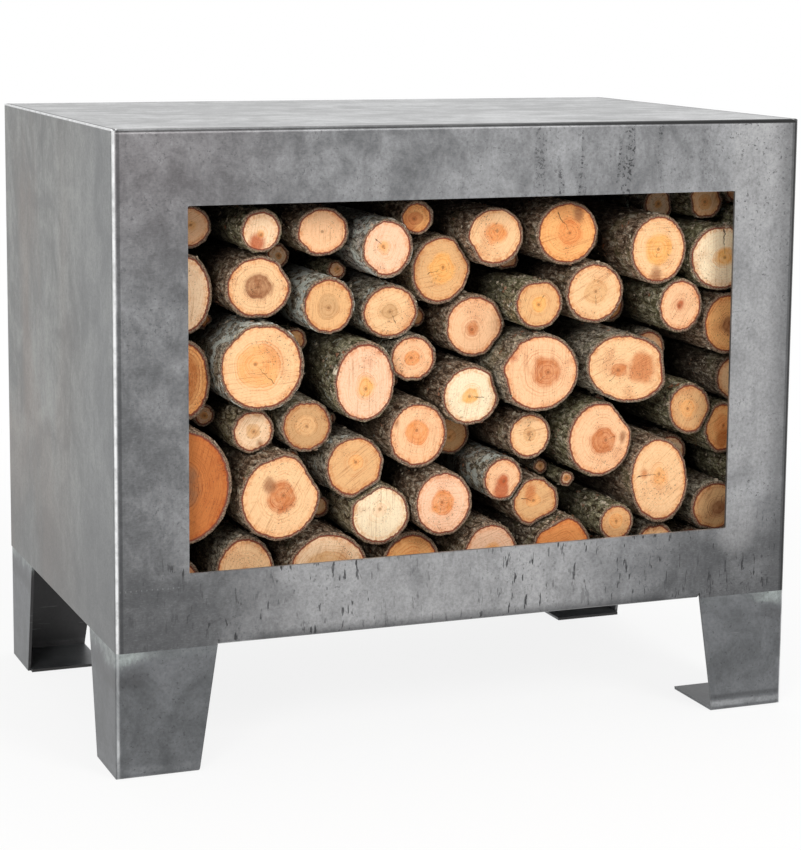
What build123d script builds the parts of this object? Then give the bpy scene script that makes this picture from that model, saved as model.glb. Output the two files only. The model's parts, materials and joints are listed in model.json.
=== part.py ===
# Log box: a folded steel box on four folded legs, open through a window in its front and
# stacked with round logs that lie front to back.
#
# Millimetres. +Z is up and the window faces -Y. The origin is on the ground, under the
# middle of the box.

from build123d import *
import math
import os

# Box
box_width = 700.0
box_depth = 450.0
box_height = 480.0
sheet = 3.0                 # thickness of all the steel
fold_radius = 5.0           # outside radius of every fold
seam_slit = 0.4             # slit between the top and each side, bridged by the welds
fold_relief = 1.6           # radius of the hole where the slit meets the folds
fit_gap = 0.3               # room at the sides of a panel that is let in

# Window in the front
stile_width = 70.0
top_rail = 70.0
bottom_rail = 70.0
window_corner = 1.5

# Flanges folded in under the front and the rear, which carry the floor panel
flange_depth = 25.0
flange_end_gap = 2.0        # between the end of a flange and the leg beside it

# Legs, each an angle with a foot folded inwards
leg_height = 120.0
wing_top = 97.0             # width of the front or rear wing where it meets the box
wing_bottom = 79.0
side_wing_top = 100.0
side_wing_bottom = 75.0
foot_depth = 82.0

# Welds
bead_radius = 5.0           # weld between a leg and the box
stitch_radius = 3.0         # weld between two panels
stitch_length = 30.0
stitches_deep = 3           # stitches along each side of the top
stitches_wide = 4           # stitches along each rear or floor seam
stitch_margin = 60.0        # from the end of a seam to the middle of its first stitch

# Stack of logs, from side to side of the box
room_above_stack = 50.0     # between the highest log and the underside of the top
log_gap = 0.4               # between a log and whatever it rests against
side_recess = 60.0          # how far the logs behind the frame's sides stand back

# Every log: across from the middle, height of its middle above the floor panel, width,
# height, turn in degrees, and how far its cut end stands behind the front sheet.
log_rows = {
    "a": [
        (-214, 44, 64, 89, 0, 35),
        (-132, 43, 86, 86, 0, 30),
        (-41, 38, 67, 76, 0, 45),
        (37, 41, 66, 83, 0, 30),
        (112, 43, 70, 86, 0, 25),
        (169, 73, 42, 42, 0, 20),
        (221, 34, 54, 68, 0, 35),
        (288, 78, 58, 56, 0, 35),
    ],
    "b": [
        (-279, 141, 95, 113, 0, 15),
        (-184, 124, 84, 88, -20, 20),
        (-80, 97, 66, 62, 0, 30),
        (-16, 105, 64, 68, 0, 25),
        (51, 123, 47, 48, 0, 35),
        (89, 96, 55, 54, 0, 40),
        (216, 113, 68, 92, 8, 20),
    ],
    "c": [
        (-203, 184, 46, 46, 0, 45),
        (-151, 187, 55, 54, 0, 40),
        (-106, 146, 64, 64, 0, 30),
        (-43, 174, 65, 68, 0, 25),
        (79, 164, 50, 50, 0, 35),
        (151, 158, 75, 80, 0, 25),
        (259, 180, 52, 57, 20, 40),
        (300, 157, 46, 57, 0, 45),
    ],
    "d": [
        (-271, 237, 54, 80, 0, 40),
        (-202, 249, 87, 87, 0, 20),
        (-98, 229, 66, 82, 0, 25),
        (-41, 246, 52, 49, 0, 45),
        (14, 209, 65, 63, 0, 30),
        (80, 230, 88, 80, 0, 15),
        (178, 229, 97, 72, -12, 18),
    ],
    "e": [
        (-133, 303, 56, 58, 0, 30),
        (-67, 293, 62, 56, 0, 40),
        (25, 274, 66, 65, 0, 50),
        (80, 297, 55, 54, 0, 20),
        (145, 304, 67, 64, 0, 30),
        (238, 288, 53, 58, 0, 25),
        (293, 267, 57, 66, 0, 30),
    ],
    "f": [
        (-269, 317, 56, 80, 0, 45),
        (-201, 322, 69, 63, 0, 35),
        (-11, 330, 65, 71, -15, 50),
        (209, 346, 66, 73, 0, 20),
        (283, 335, 77, 70, 0, 25),
    ],
    "g": [
        (-200, 376, 44, 44, 0, 30),
        (-136, 372, 57, 50, 0, 40),
        (-77, 356, 56, 60, -15, 22),
        (-38, 382, 38, 36, 0, 45),
        (39, 362, 64, 61, 0, 35),
        (114, 364, 70, 66, 0, 30),
    ],
}

# Sticks lodged between the logs: across, height, thickness and how far they stand back
sticks = [
    (170, 26, 52, 60),
    (276, 27, 54, 60),
    (321, 20, 40, 60),
    (130, 114, 20, 55),
    (112, 122, 20, 80),
    (-238, 194, 26, 90),
    (-148, 146, 20, 95),
    (-124, 98, 26, 80),
    (-67, 138, 22, 85),
    (22, 157, 44, 100),
    (268, 125, 40, 95),
    (181, 183, 18, 90),
    (-112, 184, 16, 85),
    (-41, 215, 15, 100),
    (236, 236, 42, 90),
    (192, 282, 40, 95),
    (-146, 262, 28, 90),
    (-152, 222, 20, 105),
    (-164, 345, 28, 90),
    (-102, 328, 24, 95),
    (162, 352, 30, 85),
    (77, 333, 28, 90),
    (-236, 284, 20, 95),
    (-19, 279, 24, 95),
    (247, 383, 38, 95),
]

# Logs that stand behind the frame's sides: across, height, width and thickness
side_logs = [
    (-275, 33, 56, 66),
    (-326, 20, 42, 40),
    (-317, 68, 58, 60),
    (-321, 214, 52, 62),
    (-322, 271, 50, 54),
    (-322, 322, 50, 50),
    (-318, 371, 58, 48),
    (-262, 378, 50, 44),
    (334, 61, 26, 53),
    (331, 110, 32, 44),
    (335, 158, 24, 52),
    (322, 206, 50, 52),
    (334, 256, 26, 52),
    (332, 300, 28, 40),
    (329, 354, 34, 70),
    (282, 389, 44, 42),
    (322, 402, 46, 38),
]

# Levels and faces that the pieces share
half_width = box_width / 2
half_depth = box_depth / 2
box_top = leg_height + box_height
inner_half_width = half_width - sheet
inner_half_depth = half_depth - sheet
inner_top = box_top - sheet
floor_underside = leg_height + sheet
floor_top = floor_underside + sheet
flange_half_width = half_width - wing_top - flange_end_gap
past = 20.0                 # how far a cutting solid runs past what it cuts


def rectangle(x, y):
    """Flat rectangle between two pairs of coordinates."""
    return Pos(sum(x) / 2, sum(y) / 2) * Rectangle(x[1] - x[0], y[1] - y[0])


def block(x, y, z):
    """Solid block between three pairs of coordinates."""
    size = (x[1] - x[0], y[1] - y[0], z[1] - z[0])
    return Pos(sum(x) / 2, sum(y) / 2, sum(z) / 2) * Box(*size)


def with_round_corners(face, corners, radius):
    """The face with a round at each of the named corners."""
    near = 0.001
    chosen = []
    for vertex in face.vertices():
        for corner in corners:
            if abs(vertex.X - corner[0]) < near and abs(vertex.Y - corner[1]) < near:
                chosen.append(vertex)
    return fillet(chosen, radius)


def folded_block(x, y, z, upright_edges, level_edge, radius):
    """Block whose named upright edges (x, y) and level edge (y, z) are round."""
    near = 0.001
    folds = []
    solid = block(x, y, z)
    for edge in solid.edges():
        middle = edge @ 0.5
        upright = abs(middle.Z - sum(z) / 2) < near
        level = abs(middle.X - sum(x) / 2) < near
        if upright and any(math.dist((middle.X, middle.Y), at) < near for at in upright_edges):
            folds.append(edge)
        if level and math.dist((middle.Y, middle.Z), level_edge) < near:
            folds.append(edge)
    return fillet(folds, radius)


def floor_flange(front):
    """Fold under the front (front is -1) or the rear (front is 1), with its flange."""
    x = (-flange_half_width, flange_half_width)
    face_y = front * half_depth
    back_y = face_y - front * sheet
    end_y = face_y - front * flange_depth
    y = sorted((face_y, end_y))
    profile = with_round_corners(rectangle(y, (leg_height, box_top)), [(face_y, leg_height)], fold_radius)
    profile = profile & rectangle(y, (leg_height, leg_height + fold_radius))
    hollow = rectangle(sorted((back_y, end_y - front * past)), (floor_underside, box_top))
    hollow = with_round_corners(hollow, [(back_y, floor_underside)], fold_radius - sheet)
    return extrude(Plane.YZ.offset(x[0]) * (profile - hollow), x[1] - x[0])


def fold_notch(front):
    """What the fold under the front or the rear takes out of the upright sheet."""
    y = sorted((front * (half_depth + past), front * (half_depth - sheet)))
    x = (-flange_half_width - flange_end_gap, flange_half_width + flange_end_gap)
    return block(x, y, (leg_height - past, leg_height + fold_radius))


def folded_shell():
    """Front, two sides and top, folded from one sheet, with the window cut out."""
    outer = folded_block(
        (-half_width, half_width),
        (-half_depth, half_depth),
        (leg_height, box_top),
        [(-half_width, -half_depth), (half_width, -half_depth)],
        (-half_depth, box_top),
        fold_radius,
    )
    inner = folded_block(
        (-inner_half_width, inner_half_width),
        (-inner_half_depth, half_depth + past),
        (leg_height - past, inner_top),
        [(-inner_half_width, -inner_half_depth), (inner_half_width, -inner_half_depth)],
        (-inner_half_depth, inner_top),
        fold_radius - sheet,
    )
    shell = outer - inner
    window_x = (stile_width - half_width, half_width - stile_width)
    window_z = (leg_height + bottom_rail, box_top - top_rail)
    window = rectangle(window_x, window_z)
    window = fillet(window.vertices(), window_corner)
    shell -= extrude(Plane.XZ.offset(half_depth - sheet - past) * window, 2 * past)
    slit_start = fold_radius - half_depth
    for side in (-1, 1):
        slit_x = sorted((side * inner_half_width, side * (inner_half_width - seam_slit)))
        shell -= block(slit_x, (slit_start, half_depth + past), (inner_top, box_top + past))
        relief = Cylinder(fold_relief, 2 * past)
        relief_x = side * (inner_half_width - seam_slit / 2)
        shell -= Pos(relief_x, slit_start, box_top) * relief
    shell -= fold_notch(-1)
    return shell + floor_flange(-1)


def rear_panel():
    """Panel let in between the sides, with its own flange under the floor panel."""
    x = (fit_gap - inner_half_width, inner_half_width - fit_gap)
    panel = block(x, (inner_half_depth, half_depth), (leg_height, inner_top))
    panel -= fold_notch(1)
    return panel + floor_flange(1)


def floor_panel():
    """Floor that lies on the two flanges, clear of the inside of their folds."""
    x = (fit_gap - inner_half_width, inner_half_width - fit_gap)
    end = half_depth - fold_radius
    return block(x, (-end, end), (floor_underside, floor_top))


def front_left_leg():
    """Angle that tapers to a foot, folded inwards from the front wing."""
    x = (-half_width, wing_top - half_width)
    y = (-half_depth, side_wing_top - half_depth)
    outer = folded_block(
        x,
        y,
        (0, leg_height),
        [(-half_width, -half_depth)],
        (-half_depth, 0),
        fold_radius,
    )
    inner = folded_block(
        (-inner_half_width, x[1] + past),
        (-inner_half_depth, y[1] + past),
        (sheet, leg_height + past),
        [(-inner_half_width, -inner_half_depth)],
        (-inner_half_depth, sheet),
        fold_radius - sheet,
    )
    leg = outer - inner
    wing_edge = [
        (wing_bottom - half_width, 0),
        (wing_top - half_width, leg_height),
        (wing_top - half_width + past, leg_height),
        (wing_top - half_width + past, 0),
    ]
    wing_taper = make_face(Polyline(*wing_edge, close=True))
    leg -= extrude(Plane.XZ.offset(half_depth + past) * wing_taper, -box_depth)
    side_edge = [
        (side_wing_bottom - half_depth, 0),
        (side_wing_top - half_depth, leg_height),
        (side_wing_top - half_depth + past, leg_height),
        (side_wing_top - half_depth + past, 0),
    ]
    side_taper = make_face(Polyline(*side_edge, close=True))
    leg -= extrude(Plane.YZ.offset(-half_width) * side_taper, sheet)
    foot_end = foot_depth - half_depth
    return leg - block((-inner_half_width, x[1] + past), (foot_end, y[1] + past), (0, sheet))


def quarter_bead(radius, length):
    """Weld bead along +X that fills the corner below and behind the origin (-Z, +Y)."""
    section = Circle(radius) & rectangle((0, radius), (-radius, 0))
    return extrude(Plane.YZ * section, length)


def all_four(piece):
    """A piece at the front left corner, and its mirror images at the other three."""
    left_pair = [piece, mirror(piece, Plane.XZ)]
    right_pair = [mirror(one, Plane.YZ) for one in left_pair]
    return left_pair + right_pair


def leg_welds():
    """Two beads inside each leg, across its joint with the box."""
    start = fold_radius + bead_radius
    wing_length = wing_top - start - flange_end_gap
    side_length = side_wing_top - start - flange_end_gap
    wing_bead = Pos(start - half_width, -inner_half_depth, floor_underside)
    wing_bead *= quarter_bead(bead_radius, wing_length)
    turned = mirror(quarter_bead(bead_radius, side_length), Plane.XZ)
    side_bead = Pos(-inner_half_width, start - half_depth, floor_underside)
    side_bead *= Rot(0, 0, 90) * turned
    return Compound(all_four(wing_bead) + all_four(side_bead))


def spread(reach, count):
    """Middles of a number of stitches, evenly along a seam that reaches this far each way."""
    last = reach - stitch_margin
    return [last * (2 * number / (count - 1) - 1) for number in range(count)]


def panel_welds():
    """Short welds under the top's seams and under the floor panel's flanges."""
    stitch = Pos(-stitch_length / 2, 0, 0) * quarter_bead(stitch_radius, stitch_length)
    stitches = []
    for y in spread(half_depth, stitches_deep):
        left = Pos(-inner_half_width, y, inner_top) * Rot(0, 0, 90) * mirror(stitch, Plane.XZ)
        stitches += [left, mirror(left, Plane.YZ)]
    for x in spread(flange_half_width, stitches_wide):
        front = Pos(x, flange_depth - half_depth, floor_underside) * stitch
        stitches += [front, mirror(front, Plane.XZ)]
        stitches.append(Pos(x, inner_half_depth, inner_top) * mirror(stitch, Plane.XZ))
    return Compound(stitches)


# The stack follows the box: across from its middle, and up from its floor panel
stack_width = 2 * inner_half_width
stack_height = inner_top - floor_top - room_above_stack
listed = [place[:4] for places in log_rows.values() for place in places]
listed += side_logs + [(x, z, thickness, thickness) for x, z, thickness, recess in sticks]
listed_reach = max(abs(x) + width / 2 for x, z, width, height in listed)
listed_top = max(z + height / 2 for x, z, width, height in listed)
scale_across = stack_width / (2 * listed_reach)
scale_up = stack_height / listed_top


class Log:
    """A log's outline, seen from the front, and how far its cut end stands back."""

    def __init__(self, node, x, z, width, height, turn, recess):
        self.node = node
        self.x = x * scale_across
        self.z = z * scale_up
        self.half_width = width * scale_across / 2
        self.half_height = height * scale_up / 2
        self.turn = turn
        self.recess = recess
        self.cuts = []

    def reach(self, angle):
        """How far the outline goes from its middle in a direction, in radians."""
        from_axis = angle - math.radians(self.turn)
        across = self.half_width * math.cos(from_axis)
        up = self.half_height * math.sin(from_axis)
        return math.hypot(across, up)

    def lean_on(self, other):
        """Flatten both logs where their outlines meet, and leave the gap between them."""
        distance = math.hypot(other.x - self.x, other.z - self.z)
        angle = math.atan2(other.z - self.z, other.x - self.x)
        own = self.reach(angle)
        others = other.reach(angle + math.pi)
        spare = distance - own - others
        if spare < log_gap:
            self.cuts.append((angle, own + (spare - log_gap) / 2))
            other.cuts.append((angle + math.pi, others + (spare - log_gap) / 2))

    def outline(self):
        """The flattened outline, inside the walls of the box."""
        far = box_width + box_height
        face = Rot(0, 0, self.turn) * Ellipse(self.half_width, self.half_height)
        for angle, length in self.cuts:
            side = Rot(0, 0, math.degrees(angle)) * rectangle((length, far), (-far, far))
            face -= side
        reach_x = inner_half_width - log_gap
        top = inner_top - floor_top - log_gap
        return (Pos(self.x, self.z) * face) & rectangle((-reach_x, reach_x), (log_gap, top))

    def solid(self):
        """The log from its cut end to just short of the rear panel."""
        front_y = self.recess - inner_half_depth
        length = inner_half_depth - log_gap - front_y
        plane = Plane(origin=(0, front_y, floor_top), x_dir=(1, 0, 0), z_dir=(0, -1, 0))
        return extrude(plane * self.outline(), -length)


def build_stack():
    """All the logs and sticks, with every pair that meets flattened."""
    logs = []
    for row, places in log_rows.items():
        for number, place in enumerate(places, start=1):
            logs.append(Log(f"log_{row}{number}", *place))
    for x, z, thickness, recess in sticks:
        logs.append(Log("lodged_sticks", x, z, thickness, thickness, 0, recess))
    for x, z, width, height in side_logs:
        logs.append(Log("side_logs", x, z, width, height, 0, side_recess))
    for place, first in enumerate(logs):
        for second in logs[place + 1:]:
            first.lean_on(second)
    return logs


def all_nodes():
    """Every node's name and its solids."""
    nodes = {
        "folded_shell": folded_shell(),
        "rear_panel": rear_panel(),
        "floor_panel": floor_panel(),
        "leg_welds": leg_welds(),
        "panel_welds": panel_welds(),
    }
    names = ["front_left_leg", "rear_left_leg", "front_right_leg", "rear_right_leg"]
    nodes.update(zip(names, all_four(front_left_leg())))
    groups = {}
    for log in build_stack():
        groups.setdefault(log.node, []).append(log.solid())
    for node, solids in groups.items():
        nodes[node] = solids[0] if len(solids) == 1 else Compound(solids)
    return nodes


os.makedirs("parts", exist_ok=True)
for name, shape in all_nodes().items():
    export_step(shape, f"parts/{name}.step")
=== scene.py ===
# Log box: folded steel on four legs, stacked with round logs.
# The steel is the CAD's own, with finishes made here. Every log is remade in detail.

import json
import math
import bpy
import numpy as np
from mathutils import Matrix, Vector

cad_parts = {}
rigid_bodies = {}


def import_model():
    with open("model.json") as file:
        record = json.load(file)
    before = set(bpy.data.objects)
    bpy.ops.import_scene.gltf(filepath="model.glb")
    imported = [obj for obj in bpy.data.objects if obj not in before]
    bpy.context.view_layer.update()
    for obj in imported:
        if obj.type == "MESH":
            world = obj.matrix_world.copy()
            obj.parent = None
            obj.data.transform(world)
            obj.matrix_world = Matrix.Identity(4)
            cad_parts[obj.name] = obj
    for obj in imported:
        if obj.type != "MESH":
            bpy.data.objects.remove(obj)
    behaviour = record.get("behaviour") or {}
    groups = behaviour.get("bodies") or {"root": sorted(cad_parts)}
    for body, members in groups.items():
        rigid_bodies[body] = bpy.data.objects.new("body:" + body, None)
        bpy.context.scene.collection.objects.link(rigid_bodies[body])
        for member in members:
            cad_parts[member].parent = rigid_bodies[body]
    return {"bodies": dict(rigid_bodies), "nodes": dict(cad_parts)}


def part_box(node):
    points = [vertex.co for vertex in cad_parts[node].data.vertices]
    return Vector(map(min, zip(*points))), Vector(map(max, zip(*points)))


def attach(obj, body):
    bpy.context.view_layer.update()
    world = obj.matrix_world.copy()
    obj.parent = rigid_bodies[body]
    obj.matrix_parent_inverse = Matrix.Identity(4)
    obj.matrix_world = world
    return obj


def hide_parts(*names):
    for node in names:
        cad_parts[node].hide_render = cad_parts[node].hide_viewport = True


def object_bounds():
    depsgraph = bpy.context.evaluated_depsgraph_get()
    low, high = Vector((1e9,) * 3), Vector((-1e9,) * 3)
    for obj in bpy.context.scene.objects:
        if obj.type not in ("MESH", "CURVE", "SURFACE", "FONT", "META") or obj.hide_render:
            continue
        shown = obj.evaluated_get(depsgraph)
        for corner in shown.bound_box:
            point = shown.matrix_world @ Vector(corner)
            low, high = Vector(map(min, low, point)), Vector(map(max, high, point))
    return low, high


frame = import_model()
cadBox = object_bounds()
bpy.context.scene.view_settings.view_transform = "Standard"
print("frame loaded,", len(frame["nodes"]), "nodes")


def tint(red, green, blue):
    # screen colour, 0 to 255, as the linear colour that a shader takes
    linear = []
    for part in (red / 255, green / 255, blue / 255):
        linear.append(part / 12.92 if part <= 0.04045 else ((part + 0.055) / 1.055) ** 2.4)
    return (*linear, 1.0)


class Nodes:
    # a node tree, with short calls that add its nodes and join them

    def __init__(self, tree):
        self.tree = tree
        tree.nodes.clear()

    def feed(self, socket, value):
        if isinstance(value, bpy.types.NodeSocket):
            self.tree.links.new(value, socket)
        elif value is not None:
            socket.default_value = value

    def add(self, kind, inputs=None, **settings):
        node = self.tree.nodes.new(kind)
        for key, value in settings.items():
            setattr(node, key, value)
        for key, value in (inputs or {}).items():
            self.feed(node.inputs[key], value)
        return node

    def parts(self, vector):
        split = self.add("ShaderNodeSeparateXYZ", {0: vector})
        return split.outputs[0], split.outputs[1], split.outputs[2]

    def joined(self, x=0.0, y=0.0, z=0.0):
        return self.add("ShaderNodeCombineXYZ", {0: x, 1: y, 2: z}).outputs[0]

    def stretched(self, vector, scale, turn=(0, 0, 0)):
        inputs = {"Vector": vector, "Scale": scale, "Rotation": turn}
        return self.add("ShaderNodeMapping", inputs).outputs[0]

    def maths(self, operation, a, b=None):
        return self.add("ShaderNodeMath", {0: a, 1: b}, operation=operation).outputs[0]

    def plus(self, a, b):
        return self.maths("ADD", a, b)

    def minus(self, a, b):
        return self.maths("SUBTRACT", a, b)

    def times(self, a, b):
        return self.maths("MULTIPLY", a, b)

    def larger(self, a, b):
        return self.maths("MAXIMUM", a, b)

    def unsigned(self, a):
        return self.maths("ABSOLUTE", a)

    def root(self, a):
        return self.maths("SQRT", a)

    def sine(self, a):
        return self.maths("SINE", a)

    def cosine(self, a):
        return self.maths("COSINE", a)

    def shares(self, a, shareA, b, shareB):
        # a weighted sum of two values
        return self.plus(self.times(a, shareA), self.times(b, shareB))

    def swayed(self, noise, reach):
        # a noise turned into a shift to either side of nought
        return self.times(self.minus(noise, 0.5), reach)

    def seen(self):
        # 1 on the rays that the camera or a reflection looks along, and 0 on the rest
        rays = self.add("ShaderNodeLightPath").outputs
        gloss = self.larger(rays["Is Glossy Ray"], rays["Is Transmission Ray"])
        return self.larger(rays["Is Camera Ray"], gloss)


class Finish(Nodes):
    # a material, with the colour that its layers have come to so far

    def __init__(self, name):
        self.material = bpy.data.materials.new(name)
        self.material.use_nodes = True
        super().__init__(self.material.node_tree)

    def place(self):
        return self.add("ShaderNodeTexCoord").outputs["Object"]

    def paint(self, share, tone, how="MIX"):
        self.colour = self.blend(share, self.colour, tone, how)

    def blend(self, share, a, b, how="MIX"):
        node = self.add("ShaderNodeMix", {0: share, 6: a, 7: b}, data_type="RGBA", blend_type=how)
        return node.outputs[2]

    def noise(self, vector, scale, detail=3.0, rough=0.5, warp=0.0):
        inputs = {"Vector": vector, "Scale": scale, "Detail": detail, "Roughness": rough, "Distortion": warp}
        return self.add("ShaderNodeTexNoise", inputs).outputs["Fac"]

    def step(self, value, low, high, bottom=0.0, top=1.0):
        # smooth change from bottom to top as the value goes from low to high
        inputs = {0: value, 1: low, 2: high, 3: bottom, 4: top}
        return self.add("ShaderNodeMapRange", inputs, interpolation_type="SMOOTHSTEP").outputs[0]

    def near(self, value, middle, outer, inner, bottom=0.0, top=1.0):
        # top within inner of the middle, and bottom beyond outer
        return self.step(self.unsigned(self.minus(value, middle)), outer, inner, bottom, top)

    def attribute(self, name, output="Fac"):
        return self.add("ShaderNodeAttribute", attribute_name=name).outputs[output]

    def bump(self, height, strength, distance):
        inputs = {"Strength": strength, "Distance": distance, "Height": height}
        return self.add("ShaderNodeBump", inputs).outputs[0]

    def close(self, rough, normal=None, metallic=0.0, specular=0.5):
        inputs = {"Base Color": self.colour, "Roughness": rough, "Metallic": metallic, "Normal": normal}
        inputs["Specular IOR Level"] = specular
        surface = self.add("ShaderNodeBsdfPrincipled", inputs)
        self.add("ShaderNodeOutputMaterial", {"Surface": surface.outputs[0]})
        return self.material


# Camera and light

cameraLook = {
    "place": (-0.8777, -2.2758, 0.7325),
    "turn": 21.416,       # degrees from straight ahead, towards +X
    "down": 8.267,
    "roll": 0.487,
    "lens": 100.4,
    "shift": -0.1176,
}


def placeCamera(look):
    data = bpy.data.cameras.new("camera")
    data.sensor_width = 36
    data.lens = look["lens"]
    data.shift_y = look["shift"]
    turn, down, roll = (math.radians(look[key]) for key in ("turn", "down", "roll"))
    ahead = np.array([math.sin(turn) * math.cos(down), math.cos(turn) * math.cos(down), -math.sin(down)])
    right = np.array([math.cos(turn), -math.sin(turn), 0])
    up = np.cross(right, ahead)
    tiltedRight = right * math.cos(roll) + up * math.sin(roll)
    tiltedUp = up * math.cos(roll) - right * math.sin(roll)
    camera = bpy.data.objects.new("camera", data)
    bpy.context.collection.objects.link(camera)
    rows = [[tiltedRight[i], tiltedUp[i], -ahead[i], look["place"][i]] for i in range(3)]
    camera.matrix_world = Matrix(rows + [[0, 0, 0, 1]])
    bpy.context.scene.camera = camera


lampLook = {
    # name: place, size in metres, watts, colour
    "keySoftbox": ((0.9, -2.7, 2.2), 1.3, 46, (1.0, 0.985, 0.96)),
    "fillSoftbox": ((-1.9, -2.5, 1.5), 0.9, 36, (1.0, 0.99, 0.97)),
    "topSoftbox": ((0.2, 0.6, 2.6), 1.6, 16, (1.0, 1.0, 1.0)),
}
aimPoint = np.array([0.0, 0.0, 0.3])


def placeLamps(look):
    for name, (place, size, watts, colour) in look.items():
        data = bpy.data.lights.new(name, "AREA")
        data.shape = "DISK"
        data.size = size
        data.energy = watts
        data.color = colour
        lamp = bpy.data.objects.new(name, data)
        bpy.context.collection.objects.link(lamp)
        lamp.location = place
        away = np.array(place) - aimPoint
        lamp.rotation_euler = (
            math.acos(away[2] / np.linalg.norm(away)), 0, math.atan2(away[1], away[0]) + math.pi / 2)


studioLook = {
    "floorSize": 9.0,
    "skyLight": 0.5,
    "shadowShare": 0.14,
    "shadowReach": (0.6, 1.5),     # metres from the middle over which shadows fade to white
}


def placeStudio(look):
    # white wherever the camera or a reflection sees it, and a plain grey light for everything else
    world = bpy.data.worlds.new("studio")
    bpy.context.scene.world = world
    world.use_nodes = True
    sky = Nodes(world.node_tree)
    grey = sky.add("ShaderNodeBackground", {0: (1, 1, 1, 1), 1: look["skyLight"]}).outputs[0]
    white = sky.add("ShaderNodeBackground", {0: (1, 1, 1, 1), 1: 1.0}).outputs[0]
    mixed = sky.add("ShaderNodeMixShader", {0: sky.seen(), 1: grey, 2: white}).outputs[0]
    sky.add("ShaderNodeOutputWorld", {0: mixed})

    half = look["floorSize"] / 2
    mesh = bpy.data.meshes.new("studioFloor")
    corners = [(-half, -half, 0), (half, -half, 0), (half, half, 0), (-half, half, 0)]
    mesh.from_pydata(corners, [], [(0, 1, 2, 3)])
    floor = bpy.data.objects.new("studioFloor", mesh)
    bpy.context.collection.objects.link(floor)
    paper = Finish("whitePaper")
    # shadows show near the object only: further out the paper is pure white and has no edge
    x, y, _ = paper.parts(paper.place())
    away = paper.root(paper.plus(paper.times(x, x), paper.times(y, y)))
    shown = paper.step(away, *look["shadowReach"], 1 - look["shadowShare"], 1.0)
    seen = paper.times(paper.seen(), shown)
    matt = paper.add("ShaderNodeBsdfDiffuse", {"Color": (0.93, 0.93, 0.93, 1)}).outputs[0]
    white = paper.add("ShaderNodeEmission", {"Color": (1, 1, 1, 1), "Strength": 1.0}).outputs[0]
    mixed = paper.add("ShaderNodeMixShader", {0: seen, 1: matt, 2: white}).outputs[0]
    paper.add("ShaderNodeOutputMaterial", {"Surface": mixed})
    mesh.materials.append(paper.material)


placeCamera(cameraLook)
placeLamps(lampLook)
placeStudio(studioLook)
print("camera, lamps and floor placed")


# Steel: hot-rolled sheet under a clear coat, with its mill scale in clouds, streaks and pits

shellLow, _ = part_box("folded_shell")
boxFacts = {
    "halfWidth": cadBox[1][0], "halfDepth": cadBox[1][1], "top": cadBox[1][2], "underside": shellLow[2],
}
shellLook = {
    "frontDark": tint(92, 93, 95), "frontLight": tint(158, 159, 161), "frontPale": tint(178, 178, 179),
    # the sides' and the top's tones are copies of the front's: painted shade on the sides and painted light
    # on the top, for how each face turns to the lamps
    "sideDark": tint(98, 99, 98), "sideLight": tint(152, 153, 150),
    "rust": tint(138, 120, 108), "cool": tint(122, 126, 130),
    "topDark": tint(140, 141, 142), "topLight": tint(192, 193, 194),
    "warmTint": tint(118, 106, 108), "scar": tint(48, 48, 50), "bright": tint(236, 237, 238),
    "edgeDark": tint(36, 37, 39), "foldDark": tint(14, 14, 15), "low": tint(74, 75, 77),
    "metallic": 0.5, "rough": 0.4,
    # metres from the middle of the box, or up from the ground
    "railMiddle": -0.05, "runsMiddle": 0.15, "rubPlace": (0.292, 0.196), "spatterHeight": 0.178,
    "foldDarkInside": 0.0056, "slitInside": 0.003,
}


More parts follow.
